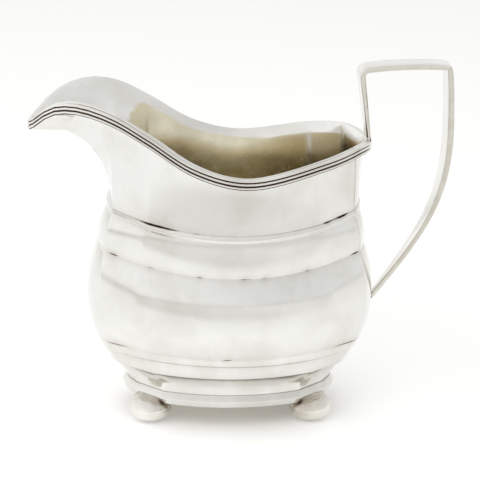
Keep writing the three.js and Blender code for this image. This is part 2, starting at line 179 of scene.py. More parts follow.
def between(low, high, share, swell=(0, 0)):
    mixed = low + (high - low) * share
    bulge = 4 * share * (1 - share)
    mixed[LENGTH] += bulge * swell[0]
    mixed[WIDTH] += bulge * swell[1]
    return mixed


def moved(level, out, up=0.0):
    new = level.copy()
    new[LENGTH] += out
    new[WIDTH] += out
    new[Z] += up
    return new


def throat(level):
    """The level with the flatter end that the neck has under the lip."""
    new = level.copy()
    new[LIP_BOW] = THROAT_BOW
    return new


def swelled(low, high, swell, steps=18):
    return [between(low, high, i / steps, swell) for i in range(steps + 1)]


# ------------------------------------------------------------------ walls
CREASE_REACH = 0.34      # how far from a crease its tarnish reaches
HAZE_REACH = 1.3         # and how far the haze round it reaches
OUTER_RIPPLE = 0.07
INNER_RIPPLE = 0.34
INNER_SEED = 40          # added to a wall's seed for its lining
RIPPLE_SCALE = 0.05
FINE_RIPPLE = 0.15       # both the scale and the share of the finer ripple
EDGE_CREST = 0.22        # how far the rounded edge of a wall stands out


def marked(x, dark, marks):
    """How dark a crease is along the jug: a little everywhere, more at its marks (middle, reach, dark)."""
    total = np.full(x.shape, float(dark))
    for middle, reach, more in marks:
        total += more * np.exp(-((x - middle) / reach) ** 2)
    return total


def wall_rows(levels, creases, round_over=0.28, spacing=1.5):
    """Rows up a wall through the levels, with rounded corners, and how dark their points are. creases are
    (number of the level, how dark its crease is all round, marks along it)."""
    levels = np.array(levels)
    steps = np.hypot(np.diff(levels[:, Z]), np.diff(levels[:, WIDTH]))
    walked = np.concatenate([[0], np.cumsum(steps)])
    total = walked[-1]
    corners = [walked[number] for number, _, _ in creases]
    places = [np.linspace(0, total, max(2, int(total / spacing)) + 1)]
    places += [corner + np.linspace(-1.6, 1.6, 11) * round_over for corner in corners]
    places = np.unique(np.round(np.clip(np.concatenate(places), 0, total), 3))
    rows, depths = [], []
    for place in places:
        reach = min(round_over, place, total - place)
        taps = np.clip(place + TAPS * reach, 0, total)
        level = sum(w * np.array([np.interp(tap, walked, levels[:, k]) for k in range(CLIMB + 1)])
                    for tap, w in zip(taps, TAP_WEIGHTS))
        row = outline(level)
        rows.append(row)
        depths.append(np.max([
            marked(row[:, 0], dark, marks) * math.exp(-((place - corner) / CREASE_REACH) ** 2)
            for corner, (_, dark, marks) in zip(corners, creases)
        ], axis=0))
    return np.array(rows), np.array(depths)


def normals_of(rows):
    along = np.roll(rows, -1, axis=1) - np.roll(rows, 1, axis=1)
    up = np.empty_like(rows)
    up[1:-1] = rows[2:] - rows[:-2]
    up[0] = rows[1] - rows[0]
    up[-1] = rows[-1] - rows[-2]
    outward = np.cross(along, up)
    return outward / np.linalg.norm(outward, axis=-1, keepdims=True)


def rippled(rows, size, seed):
    """The slight unevenness of a wall raised by hammer, along its normals."""
    offset = Vector((seed * 17.3, seed * 5.1, seed * 9.7))
    flat = rows.reshape(-1, 3)
    lift = np.array([
        noise.noise(Vector(p) * RIPPLE_SCALE + offset)
        + FINE_RIPPLE * noise.noise(Vector(p) * FINE_RIPPLE + offset)
        for p in flat
    ]).reshape(rows.shape[:2])
    return rows + normals_of(rows) * (lift * size)[..., None]


# ------------------------------------------------------------------ meshes
def make_object(name, points, faces, values, body_slot, *nodes):
    """A smooth closed piece from points in millimetres about the body's axis. values are its named
    numbers per point. It stands for the given nodes."""
    mesh = bpy.data.meshes.new(name)
    placed = (np.asarray(points) + (AXIS_X, 0, 0)) * MM
    mesh.from_pydata(placed.tolist(), [], faces)
    for title, numbers in values.items():
        layer = mesh.attributes.new(title, "FLOAT", "POINT")
        layer.data.foreach_set("value", np.asarray(numbers, np.float32))
    shape = bmesh.new()
    shape.from_mesh(mesh)
    bmesh.ops.recalc_face_normals(shape, faces=shape.faces)
    shape.to_mesh(mesh)
    shape.free()
    mesh.shade_smooth()
    mesh.set_sharp_from_angle(angle=math.radians(48))
    piece = bpy.data.objects.new(name, mesh)
    bpy.context.scene.collection.objects.link(piece)
    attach(piece, "root")
    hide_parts(*nodes)
    return piece


def band_faces(row_count, across, joined):
    last = row_count if joined else row_count - 1
    faces = []
    for row in range(last):
        low = row * across
        high = (row + 1) % row_count * across
        for i in range(across):
            after = (i + 1) % across
            faces.append((low + i, low + after, high + after, high + i))
    return faces


def broad_shade(dark, rows):
    """A wide, soft version of the crease darkness, for the haze of tarnish round each crease."""
    heights = rows[:, :, 2].mean(axis=1)
    weights = np.exp(-((heights[:, None] - heights[None]) / HAZE_REACH) ** 2)
    return np.max(weights[:, :, None] * dark[None], axis=1)


def make_shell(name, rows, depths, body_slot, node, lining=None, seed=1, flange=None):
    """A wall of the body: its outer rows, its lining one wall further in, and rounded edges. A flange is
    the rows that take the place of its upper edge."""
    outer = rippled(rows, OUTER_RIPPLE, seed)
    inner = rows - normals_of(rows) * WALL
    inner = rippled(inner, INNER_RIPPLE, seed + INNER_SEED)

    def edge(level, way):
        middle = (outer[level] + inner[level]) / 2
        half = (outer[level] - inner[level]) / 2
        step = way * (outer[level] - outer[level - int(way)])
        step *= way * EDGE_CREST / np.linalg.norm(step, axis=-1, keepdims=True)
        angles = np.radians([30, 60, 90, 120, 150])
        return [middle + half * math.cos(a) + step * math.sin(a) for a in angles]

    top = edge(-1, 1) if flange is None else flange
    low = edge(0, -1)[::-1]
    inside = np.ones(rows.shape[:2]) if lining is None else lining
    if flange is not None:
        kept = (rows[:, 0, 2] < rows[-1, 0, 2] - 1.5 * WALL).sum()
        inner, inside = inner[:kept], inside[:kept]
    loop = np.array([*outer, *top, *inner[::-1], *low])
    across = rows.shape[1]
    plain = np.zeros((len(top), across))
    dark = np.concatenate([depths, plain + depths[-1], np.zeros(inner.shape[:2]),
                           np.zeros((len(low), across))])
    lined = np.concatenate([np.zeros(rows.shape[:2]), plain, inside[::-1], np.ones((len(low), across))])
    shade = np.concatenate([broad_shade(depths, outer), np.zeros((len(loop) - len(outer), across))])
    values = {"crease": dark.ravel(), "lining": lined.ravel(), "shade": shade.ravel()}
    faces = band_faces(len(loop), across, True)
    return make_object(name, loop.reshape(-1, 3), faces, values, body_slot, node)


def make_solid(name, rows, depths, shades, body_slot, *nodes):
    """A closed solid through rows of points, with a flat end on the first and last row."""
    rows = np.asarray(rows)
    across = rows.shape[1]
    count = len(rows)
    hubs = [rows[0].mean(axis=0), rows[-1].mean(axis=0)]
    points = np.concatenate([rows.reshape(-1, 3), hubs])
    faces = band_faces(count, across, False)
    for hub, start in ((count * across, 0), (count * across + 1, (count - 1) * across)):
        faces += [(hub, start + i, start + (i + 1) % across) for i in range(across)]
    values = {
        "crease": np.concatenate([np.asarray(depths).ravel(), [0.0, 0.0]]),
        "lining": np.zeros(len(points)),
        "shade": np.concatenate([np.broadcast_to(shades, rows.shape[:2]).ravel(), [0.0, 0.0]]),
    }
    return make_object(name, points, faces, values, body_slot, *nodes)


# ------------------------------------------------------------------ finishes
# Dark colour of the tarnish in the creases and grooves; on the balls under the base edge and along the
# strap's inner edges it is painted shade.
TARNISH_AND_SHADE = (0.07, 0.035, 0.03)
LINING = (0.87, 0.81, 0.64)
DEEP_LINING = (0.53, 0.445, 0.28)
GLOSS_SPREAD = 0.1       # what mottling, scratches, tarnish and the lining add to the roughness
SCRATCH_ROUGHNESS = 0.12
TARNISH_ROUGHNESS = 0.35
LINING_ROUGHNESS = 0.09
BUMP_STRENGTH = 0.12
BUMP_DEPTH = 0.02


def link_chain(tree, *pairs):
    for source, target in pairs:
        tree.links.new(source, target)


def add_node(tree, kind, **settings):
    node = tree.nodes.new(kind)
    for title, value in settings.items():
        setattr(node, title, value)
    return node


def noise_node(tree, place, scale, detail, rough, stretch=(1, 1, 1), turn=(0, 0, 0)):
    mapping = add_node(tree, "ShaderNodeMapping")
    mapping.inputs["Scale"].default_value = stretch
    mapping.inputs["Rotation"].default_value = turn
    texture = add_node(tree, "ShaderNodeTexNoise")
    texture.inputs["Scale"].default_value = scale
    texture.inputs["Detail"].default_value = detail
    texture.inputs["Roughness"].default_value = rough
    link_chain(tree, (place, mapping.inputs["Vector"]), (mapping.outputs[0], texture.inputs["Vector"]))
    return texture.outputs["Fac"]


def remap(tree, value, low, high, to_low=0.0, to_high=1.0):
    node = add_node(tree, "ShaderNodeMapRange", interpolation_type="SMOOTHSTEP")
    for title, number in (("From Min", low), ("From Max", high), ("To Min", to_low), ("To Max", to_high)):
        node.inputs[title].default_value = number
    link_chain(tree, (value, node.inputs["Value"]))
    return node.outputs["Result"]


def calculate(tree, operation, first, second):
    node = add_node(tree, "ShaderNodeMath", operation=operation)
    for socket, value in zip(node.inputs, (first, second)):
        if isinstance(value, (int, float)):
            socket.default_value = value
        else:
            link_chain(tree, (value, socket))
    return node.outputs[0]


def mix_colours(tree, share, first, second):
    node = add_node(tree, "ShaderNodeMix", data_type="RGBA")
    link_chain(tree, (share, node.inputs["Factor"]))
    for socket, value in ((node.inputs[6], first), (node.inputs[7], second)):
        if isinstance(value, tuple):
            socket.default_value = (*value, 1)
        else:
            link_chain(tree, (value, socket))
    return node.outputs[2]


def worn_silver(name, bright, shaded, patina_and_shade, gloss):
    """Old polished silver: cloudy tone, hairline scratches, a tarnished lining with a painted reflection near
    the lip, and dark creases of tarnish and painted shade.
    """
    material = bpy.data.materials.new(name)
    material.use_nodes = True
    tree = material.node_tree
    shader = tree.nodes["Principled BSDF"]
    shader.inputs["Metallic"].default_value = 1.0
    place = add_node(tree, "ShaderNodeTexCoord").outputs["Object"]
    crease = add_node(tree, "ShaderNodeAttribute", attribute_name="crease").outputs["Fac"]
    inside = add_node(tree, "ShaderNodeAttribute", attribute_name="lining").outputs["Fac"]
    shade = add_node(tree, "ShaderNodeAttribute", attribute_name="shade").outputs["Fac"]

    cloud = remap(tree, noise_node(tree, place, 55, 4, 0.6), 0.38, 0.68)
    mottle = noise_node(tree, place, 210, 5, 0.65)
    grain = noise_node(tree, place, 900, 4, 0.7)
    scratch_one = noise_node(tree, place, 60, 3, 0.6, (4, 60, 9), (0.2, 0.5, 0.9))
    scratch_two = noise_node(tree, place, 60, 3, 0.6, (50, 5, 14), (0.7, 0.1, 0.4))
    scratches = calculate(tree, "MAXIMUM", remap(tree, scratch_one, 0.66, 0.74),
                          remap(tree, scratch_two, 0.67, 0.75))

    outside = mix_colours(tree, cloud, bright, shaded)
    lining_stain_and_reflection = mix_colours(tree, cloud, LINING, tuple(0.8 * c for c in LINING))
    along = add_node(tree, "ShaderNodeSeparateXYZ")
    link_chain(tree, (place, along.inputs[0]))
    # Painted reflection: the lining is painted darker towards the lip. It is also darker towards the handle
    # end.
    lip_reflection = remap(tree, along.outputs[0], -0.022, -0.04, 0.0, 0.65)
    deep = calculate(tree, "MAXIMUM", remap(tree, along.outputs[0], -0.005, 0.03), lip_reflection)
    lining_stain_and_reflection = mix_colours(tree, deep, lining_stain_and_reflection, DEEP_LINING)
    # Patina tone round the creases; on the strap's sides and on the balls this is painted shade.
    haze = calculate(tree, "MULTIPLY", shade, remap(tree, mottle, 0.3, 0.62, 0.45, 1.0))
    outside = mix_colours(tree, haze, outside, patina_and_shade)
    skin = mix_colours(tree, inside, outside, lining_stain_and_reflection)
    patchy = calculate(tree, "SUBTRACT", calculate(tree, "MULTIPLY", crease, 1.7), mottle)
    dark = remap(tree, patchy, 0.15, 0.6)
    colour = mix_colours(tree, dark, skin, TARNISH_AND_SHADE)
    link_chain(tree, (colour, shader.inputs["Base Color"]))

    roughness = remap(tree, mottle, 0.3, 0.75, gloss, gloss + GLOSS_SPREAD)
    roughness = calculate(tree, "ADD", roughness, calculate(tree, "MULTIPLY", scratches, SCRATCH_ROUGHNESS))
    roughness = calculate(tree, "ADD", roughness, calculate(tree, "MULTIPLY", dark, TARNISH_ROUGHNESS))
    roughness = calculate(tree, "ADD", roughness, calculate(tree, "MULTIPLY", inside, LINING_ROUGHNESS))
    link_chain(tree, (roughness, shader.inputs["Roughness"]))

    height = calculate(tree, "SUBTRACT", calculate(tree, "MULTIPLY", grain, 0.25), scratches)
    bump = add_node(tree, "ShaderNodeBump")
    bump.inputs["Strength"].default_value = BUMP_STRENGTH
    bump.inputs["Distance"].default_value = BUMP_DEPTH * MM
    link_chain(tree, (height, bump.inputs["Height"]), (bump.outputs[0], shader.inputs["Normal"]))
    return material


# Each finish: bright and shaded tone, patina tone round the creases (painted shade on the feet and the
# strap's sides), roughness
BODY_SILVER = worn_silver("body_silver", (0.83, 0.825, 0.805), (0.745, 0.735, 0.70), (0.60, 0.56, 0.49), 0.09)
TRIM_SILVER = worn_silver("trim_silver", (0.84, 0.83, 0.80), (0.74, 0.72, 0.67), (0.62, 0.58, 0.50), 0.1)
FEET_SILVER = worn_silver("feet_silver", (0.93, 0.92, 0.89), (0.84, 0.82, 0.77), (0.44, 0.38, 0.30), 0.12)
PLATE_SILVER = worn_silver("plate_silver", (0.74, 0.70, 0.60), (0.62, 0.57, 0.45), (0.5, 0.45, 0.36), 0.3)


def finish(piece, material):
    piece.data.materials.append(material)


# ------------------------------------------------------------------ body
# Marks along a crease: middle, reach, how dark. Most are tarnish; the mark at 27 in COLLAR_MARKS darkens the
# right cant of the socle's flare.
COLLAR_MARKS = [(-30, 7, 0.15), (27, 4, 0.15)]
STEP_MARKS = [(-37, 4, 0.6), (37.5, 4.5, 0.85), (-2.5, 0.9, 0.8)]
GIRDLE_MARKS = [(-38, 1.6, 0.6), (-26, 1.4, 0.5), (-11.5, 1.2, 0.45), (3, 1.6, 0.5), (9, 1.2, 0.4),
                (23, 1.4, 0.5), (39, 1.5, 0.6)]
SEAM_MARKS = [(-24, 7, 0.5), (-12, 2, 0.25), (29, 2, 0.4), (34, 2.2, 0.6)]      # seam of belly and neck


def build_base_ring():
    creases = [(0, 0, []), (1, 0, []), (2, 0.2, COLLAR_MARKS)]
    rows, depths = wall_rows([BASE_EDGE, COLLAR, COLLAR_TOP], creases, 0.4, 0.7)
    finish(make_shell("collar", rows, depths, "silver_body", "base_ring", seed=2), BODY_SILVER)


def build_socle():
    flare = swelled(SOCLE_FOOT, SOCLE_BEAD, SOCLE_HOLLOW)
    bead = [moved(SOCLE_BEAD, STEP_OUT, 0.5), between(moved(SOCLE_BEAD, STEP_OUT), SOCLE_LEDGE, 0.6)]
    ledge = [SOCLE_LEDGE, moved(SOCLE_LEDGE, STEP_OUT, 0.6), moved(BELLY_STEP, -STEP_OUT)]
    top = len(flare) - 1
    creases = [
        (0, 0.2, COLLAR_MARKS), (top, 0.33, [(-27, 8, 0.1)]), (top + 1, 0, []),
        (top + 3, 0.3, [(-30, 6, 0.2)]), (top + 4, 0, []), (top + 5, 0.25, STEP_MARKS),
    ]
    rows, depths = wall_rows([*flare, *bead, *ledge], creases)
    finish(make_shell("socle", rows, depths, "silver_body", "socle_shell", seed=3), BODY_SILVER)


def build_belly():
    belly = swelled(BELLY_STEP, LOWER_GIRDLE, BELLY_SWELL)
    crease = moved(LOWER_GIRDLE, -STEP_OUT / 2, 0.7)
    shoulder_top = moved(UPPER_GIRDLE, -STEP_OUT / 2, -GIRDLE_HEIGHT)
    shoulder = swelled(crease, shoulder_top, SHOULDER_SWELL, 8)
    bead = [moved(UPPER_GIRDLE, 0.2, -GIRDLE_HEIGHT * 0.6), UPPER_GIRDLE]
    last = len(belly) - 1
    top = last + len(shoulder)
    creases = [
        (0, 0.25, STEP_MARKS), (last, 0, []), (last + 1, 0.22, GIRDLE_MARKS),
        (top, 0.2, [(-23, 6, 0.35), (8, 5, 0.2)]), (top + 1, 0, []), (top + 2, 0.1, SEAM_MARKS),
    ]
    rows, depths = wall_rows([*belly, *shoulder, *bead], creases)
    edge = rows[-1]
    seat = outline(throat(moved(UPPER_GIRDLE, -NECK_SETBACK - WALL)))
    flange = [edge + (seat - edge) * share for share in (0.12, 0.5, 0.9, 1)]
    flange += [seat - (0, 0, WALL), edge + (seat - edge) * 0.6 - (0, 0, WALL)]
    shell = make_shell("belly", rows, depths, "silver_body", "belly_shell", seed=4, flange=flange)
    finish(shell, BODY_SILVER)


# ------------------------------------------------------------------ neck
def rim_line():
    """Knots of half the rim, mirrored on at both ends, as a function of the knot number."""
    half = [RIM_END, *RIM_CORNERS, RIM_SIDE, *RIM_RISE, LIP_POINT]
    knots = np.array([(RIM_CORNERS[0][0], -RIM_CORNERS[0][1], RIM_CORNERS[0][2]), *half,
                      (RIM_RISE[-1][0], -RIM_RISE[-1][1], RIM_RISE[-1][2])], float)
    knots[:, 2] += UPPER_GIRDLE[Z]
    gaps = np.sqrt(np.linalg.norm(np.diff(knots, axis=0), axis=1))

    def at(number):
        i = min(int(number), len(knots) - 3)
        s = number - i
        before, here, there, beyond = knots[i - 1:i + 3]
        d0, d1, d2 = gaps[i - 1:i + 2]
        leave = ((here - before) / d0 - (there - before) / (d0 + d1) + (there - here) / d1) * d1
        arrive = ((there - here) / d1 - (beyond - here) / (d1 + d2) + (beyond - there) / d2) * d1
        return ((2 * s ** 3 - 3 * s ** 2 + 1) * here + (s ** 3 - 2 * s ** 2 + s) * leave
                + (3 * s ** 2 - 2 * s ** 3) * there + (s ** 3 - s ** 2) * arrive)

    return at


RIM_AT = rim_line()


def unit(vector):
    return vector / np.linalg.norm(vector)


def rim_points(turns):
    """Points of the rim at the given turns round the body."""
    turns = np.mod(turns, 4)
    fold = np.where(turns > 2, 4 - turns, turns)
    marks = [0, END_TURN, CANT_TURN, 2 - CANT_TURN, 2 - END_TURN, 2]
    knots = np.interp(fold, marks, [1, 2, 3, 6, 7, 10])
    points = np.array([RIM_AT(k) for k in knots])
    points[:, 1] *= np.where(turns > 2, -1, 1)
    return points


def neck_surface(spans):
    """Rows of the neck's outside at the given shares of its height."""
    low = outline(throat(moved(UPPER_GIRDLE, -NECK_SETBACK)))
    high = softened(rim_points, TURNS)
    reach = high - low
    upright = low + reach * (0, 0, NECK_UPRIGHT)
    flare = high - np.concatenate([reach[:, :2] * FLARE_SHARE, np.full((len(reach), 1), FLARE_DROP)], axis=1)
    return np.array([
        (1 - s) ** 3 * low + 3 * s * (1 - s) ** 2 * upright + 3 * s * s * (1 - s) * flare + s ** 3 * high
        for s in spans
    ])


BRIGHT_BAND = 3.9        # the lip is polished bright this far down inside
BRIGHT_LIP = 30          # and this much further at its point
RIDGE_HIGHLIGHT = 0.7        # how much of the lining is taken off its inner ridges, a painted highlight along them
SEAM_SHARE = 0.012       # share of the neck's height that the tarnish of its seam reaches


def build_neck():
    spans = np.concatenate([[0, 0.006, 0.014, 0.025], np.linspace(0.04, 0.8, 22), np.linspace(0.82, 1, 22)])
    rows = neck_surface(spans)
    depths = np.exp(-(spans / SEAM_SHARE) ** 2)[:, None] * marked(rows[0, :, 0], 0.22, SEAM_MARKS)
    below_rim = np.cumsum(np.linalg.norm(np.diff(rows[::-1], axis=0), axis=-1), axis=0)
    below_rim = np.concatenate([np.zeros((1, rows.shape[1])), below_rim])[::-1]
    toward_lip = np.abs(np.where(TURNS > 2, 4 - TURNS, TURNS) - 2)
    bright = BRIGHT_BAND + BRIGHT_LIP * np.clip((0.5 - toward_lip) / 0.25, 0, 1) ** 2
    lining = np.clip((below_rim - bright) / 0.3 + 0.5, 0, 1)
    # Painted highlight: bright silver along the inner ridges of the neck.
    for ridge in (END_TURN, CANT_TURN, 4 - CANT_TURN, 4 - END_TURN):
        lining *= 1 - RIDGE_HIGHLIGHT * np.exp(-((TURNS - ridge) / RIDGE_REACH) ** 2)
    finish(make_shell("neck", rows, depths, "silver_body", "neck_shell", lining, seed=5), BODY_SILVER)


# ------------------------------------------------------------------ reeded rim wire
def reed_profile():
    """Front of the wire, which hangs upright: drop from the rim, how far it stands out, how dark it is."""
    floor = WIRE_THICKNESS - REED_DEPTH
    section = [(-0.12, 0.4, 0.0)]
    for number, (start, end) in enumerate(REED_EDGES):
        for angle in np.radians(np.linspace(-80, 80, 11)):
            drop = (start + end) / 2 + math.sin(angle) * (end - start) / 2
            section.append((drop, floor + REED_DEPTH * math.cos(angle), 0.0))
        next_start = REED_EDGES[number + 1][0] if number < len(REED_EDGES) - 1 else WIRE_HEIGHT
        section += [(end + 0.03, floor - 0.1, GROOVE_TARNISH[number]),
                    (next_start - 0.03, floor - 0.1, GROOVE_TARNISH[number])]
    return section + [(WIRE_HEIGHT, floor - 0.3, 0.0)]


def build_rim_wires():
    rows = neck_surface(np.linspace(0.6, 1, 60))[::-1]
    count = rows.shape[1]
    half = count // 2
    front = reed_profile()
    down = np.array([0.0, 0.0, -1.0])
    tangents = np.roll(rows[0], -1, axis=0) - np.roll(rows[0], 1, axis=0)
    for name, node, side in (("reeds_back", "rim_wire_back", 1), ("reeds_front", "rim_wire_front", -1)):
        stations = []
        for i in [n if side > 0 else (count - n) % count for n in range(half + 1)]:
            edge = rows[0, i]
            out = unit(np.cross(down, tangents[i]))
            station = [edge + out * away + down * drop for drop, away, _ in front]
            drops = edge[2] - rows[:, i, 2]
            for drop in (WIRE_HEIGHT + 0.1, WIRE_HEIGHT * 0.66, WIRE_HEIGHT * 0.33, 0.0):
                reached = [np.interp(drop, drops, rows[:, i, k]) for k in range(3)]
                station.append(np.array(reached) - out * 0.05)
            stations.append(station)
        depths = [[dark for _, _, dark in front] + [0, 0, 0, 0]] * len(stations)
        finish(make_solid(name, stations, depths, 0.1, "silver_trim", node), TRIM_SILVER)


# ------------------------------------------------------------------ handle
def on_handle(point):
    return np.array([RIM_END[0] + point[0], UPPER_GIRDLE[Z] + RIM_END[2] + point[1]])


def bezier(points, steps):
    points = [np.asarray(p, float) for p in points]
    degree = len(points) - 1
    shares = np.linspace(0, 1, steps + 1)[:, None]
    return sum(math.comb(degree, k) * (1 - shares) ** (degree - k) * shares ** k * p
               for k, p in enumerate(points))


CORNER = on_handle(HANDLE_CORNER)
CROWN = on_handle(BAR_CROWN)
BOW = on_handle(HANDLE_BOW)
LEG_TOP = np.array([BOW[0], (CORNER[1] + BOW[1]) / 2])
BAR_WAY = unit(CORNER - CROWN)
LEG_WAY = unit(LEG_TOP - CORNER)
MITRE_CUT = unit(BAR_WAY - LEG_WAY)
MITRE_TARNISH = (0.35, 0.5)      # reach and darkness at the mitre
JOINT_TARNISH = (1.6, 0.75)      # and where the leg meets the belly
# The strap's narrow sides are painted darker, a painted shade:
SIDE_BAND = 0.2                  # how much of the strap's width counts as its side
SIDE_SHADE = 0.8
TIP_REACH = 2.0                  # length over which the mitre's tip is eased
TIP_PULL = 0.55
FOOT_OUT = 0.3                   # the bar's foot, out from the end of the rim
FOOT_SINK = 0.8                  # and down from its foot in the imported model


def strap_section(thickness, width):
    """Round the strap: [out, across], with rounded edges and slightly crowned broad faces."""
    t, w, e = thickness / 2, width / 2, STRAP_EDGE
    points = []
    for turn, (sign_out, sign_across) in enumerate(((1, 1), (-1, 1), (-1, -1), (1, -1))):
        for angle in np.radians(90 * turn + np.linspace(0, 90, 5)):
            out = sign_out * (t - e) + e * math.cos(angle)
            points.append((out, sign_across * (w - e) + e * math.sin(angle)))
        if turn in (1, 3):
            points += [(sign_out * t, sign_across * (w - e) * share) for share in (0.5, 0, -0.5)]
    points = np.array(points)
    points[:, 0] *= 1 + STRAP_CROWN / t * (1 - (points[:, 1] / w) ** 2)
    return points


def strap(line, start_cut, end_cut, thickness_at, width_at):
    """Rows of a strip along a line in the plane of the handle, and the length walked along it to each."""
    line = np.asarray(line)
    walked = np.concatenate([[0], np.cumsum(np.linalg.norm(np.diff(line, axis=0), axis=1))])
    shares = walked / walked[-1]
    rows = []
    for i, (point, share) in enumerate(zip(line, shares)):
        way = unit(line[min(i + 1, len(line) - 1)] - line[max(i - 1, 0)])
        square = np.array([-way[1], way[0]])
        cut = square
        if i == 0:
            cut = unit(np.asarray(start_cut, float))
        if i == len(line) - 1:
            cut = unit(np.asarray(end_cut, float))
        section = strap_section(thickness_at(share), width_at(share))
        out = section[:, :1] / abs(square @ cut) * cut
        rows.append(np.column_stack([point[0] + out[:, 0], section[:, 1], point[1] + out[:, 1]]))
    return np.array(rows), walked


def rounded_tip(rows, walked_to_tip, tip):
    """Takes the sharp tip off the outside of a mitre, over a short length of the strip."""
    ease = np.clip(1 - walked_to_tip / TIP_REACH, 0, 1)[:, None] ** 2
    middle = rows.mean(axis=1, keepdims=True)
    outward = ((rows - middle) * (tip[0], 0, tip[1])).sum(axis=-1)
    pulled = np.clip(outward, 0, None) * TIP_PULL * ease
    return rows - pulled[..., None] * (tip[0], 0, tip[1])


def bar_foot_height():
    """Height of the foot of the handle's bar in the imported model."""
    low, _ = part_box("handle_bar")
    return low.z / MM


def build_handle_bar():
    bend = on_handle(HANDLE_BEND)
    foot = np.array([RIM_END[0] + FOOT_OUT, bar_foot_height() - FOOT_SINK])
    leg_end = bend + unit(foot - bend) * BEND_RADIUS
    bar_start = bend + unit(CROWN - bend) * BEND_RADIUS
    line = np.concatenate([
        bezier([foot, leg_end], 16)[:-1], bezier([leg_end, bend, bar_start], 10)[:-1],
        bezier([bar_start, CROWN, CORNER], 24),
    ])
    rows, walked = strap(
        line, (-1, 0), MITRE_CUT,
        lambda share: np.interp(share, [0, BAR_LEG_SHARE], [FOOT_THICKNESS, STRAP_THICKNESS]),
        lambda share: STRAP_WIDTH,
    )
    rows = rounded_tip(rows, walked[-1] - walked, MITRE_CUT)
    # Painted shade on the inner half of the bar's narrow sides: dark along its leg near the foot, and in the
    # patina tone throughout.
    side = np.abs(rows[:, :, 1]) > STRAP_WIDTH / 2 - SIDE_BAND
    side &= strap_section(1, STRAP_WIDTH)[:, 0] < -0.1
    on_leg = np.interp(walked, [0, 1.5, 15, 22, 26], [0.75, 0.4, 0.5, 0.35, 0.0])
    reach, dark = MITRE_TARNISH
    at_mitre = np.exp(-((walked[-1] - walked) / reach) ** 2) * dark
    depths = side * on_leg[:, None] + at_mitre[:, None]
    finish(make_solid("strap_bar", rows, depths, side * SIDE_SHADE, "silver_trim", "handle_bar"), TRIM_SILVER)


def belly_end_at(height):
    """Half length of the belly's end at a height."""
    shares = np.linspace(0, 1, 400)
    rings = [between(BELLY_STEP, LOWER_GIRDLE, s, BELLY_SWELL) for s in shares]
    return float(np.interp(height, [r[Z] + r[CLIMB] for r in rings], [r[LENGTH] for r in rings]))


def build_handle_leg():
    joint_height = BELLY_STEP[Z] + HANDLE_JOINT_RISE
    joint = np.array([belly_end_at(joint_height) - 0.2, joint_height])
    line = np.concatenate([
        bezier([CORNER, LEG_TOP, BOW], 24)[:-1],
        bezier([BOW, BOW - (0, LEG_RUN[1]), joint + LEG_RUN, joint], 60),
    ])

    def thickness(share):
        return np.interp(share, [0, BOW_SHARE, 1], [STRAP_THICKNESS, BOW_THICKNESS, JOINT_THICKNESS])

    def width(share):
        taper = max(0.0, (share - BOW_SHARE) / (1 - BOW_SHARE)) ** TAPER_POWER
        return STRAP_WIDTH + (JOINT_WIDTH - STRAP_WIDTH) * taper

    rows, walked = strap(line, MITRE_CUT, (0, 1), thickness, width)
    rows = rounded_tip(rows, walked, MITRE_CUT)
    ends = np.exp(-(walked / MITRE_TARNISH[0]) ** 2) * MITRE_TARNISH[1]
    ends += np.exp(-((walked[-1] - walked) / JOINT_TARNISH[0]) ** 2) * JOINT_TARNISH[1]
    depths = np.repeat(ends[:, None], rows.shape[1], axis=1)
    # Painted shade on both narrow sides of the leg, in the patina tone.
    half_width = np.abs(rows[:, :, 1]).max(axis=1, keepdims=True)
    side = np.abs(rows[:, :, 1]) > half_width - SIDE_BAND
    finish(make_solid("strap_leg", rows, depths, side * SIDE_SHADE, "silver_trim", "handle_leg"), TRIM_SILVER)


# ------------------------------------------------------------------ feet and plate
BALL_TOP = 72            # degrees up the ball where its mesh ends
BALL_SEAT_SHADOW = (2.1, 0.62)       # reach and darkness of the painted shadow round the seat, under the base edge
# reach of the wider brown painted shadow on the ball under the base edge
BALL_SHADOW_REACH = 4.5
PLATE_TARNISH = 0.35
PLATE_HAZE = 0.5


def build_feet():
    centre = BALL_HALF_HEIGHT * math.sqrt(1 - (BALL_WEAR / BALL_RADIUS) ** 2)
    lowest = -math.asin(centre / BALL_HALF_HEIGHT)
    angles = np.linspace(lowest, math.radians(BALL_TOP), 30)
    around = np.linspace(0, 2 * math.pi, 64, endpoint=False)
    edge = outline(BASE_EDGE)
    for end_name, sign_x in (("lip", -1), ("handle", 1)):
        for side_name, sign_y in (("front", -1), ("back", 1)):
            middle_x = sign_x * (BASE_EDGE[LENGTH] - BALL_INSET[0])
            middle_y = sign_y * (BASE_EDGE[WIDTH] - BALL_INSET[1])
            radii = BALL_RADIUS * np.cos(angles)
            rows = np.stack([
                middle_x + radii[:, None] * np.cos(around), middle_y + radii[:, None] * np.sin(around),
                np.repeat(centre + BALL_HALF_HEIGHT * np.sin(angles)[:, None], len(around), axis=1),
            ], axis=-1)
            rows[0, :, 2] = 0
            # Painted shadow where the ball meets the base edge: dark close to the edge, with a wider brown
            # band in the feet's patina tone.
            away = np.linalg.norm(rows[:, :, None, :] - edge[None, None], axis=-1).min(axis=-1)
            depths = np.exp(-(away / BALL_SEAT_SHADOW[0]) ** 2) * BALL_SEAT_SHADOW[1]
            corner = f"{side_name}_{end_name}"
            nodes = (f"foot_lower_{corner}", f"foot_upper_{corner}")
            shades = np.exp(-(away / BALL_SHADOW_REACH) ** 2)
            finish(make_solid(f"ball_{corner}", rows, depths, shades, "silver_feet", *nodes), FEET_SILVER)


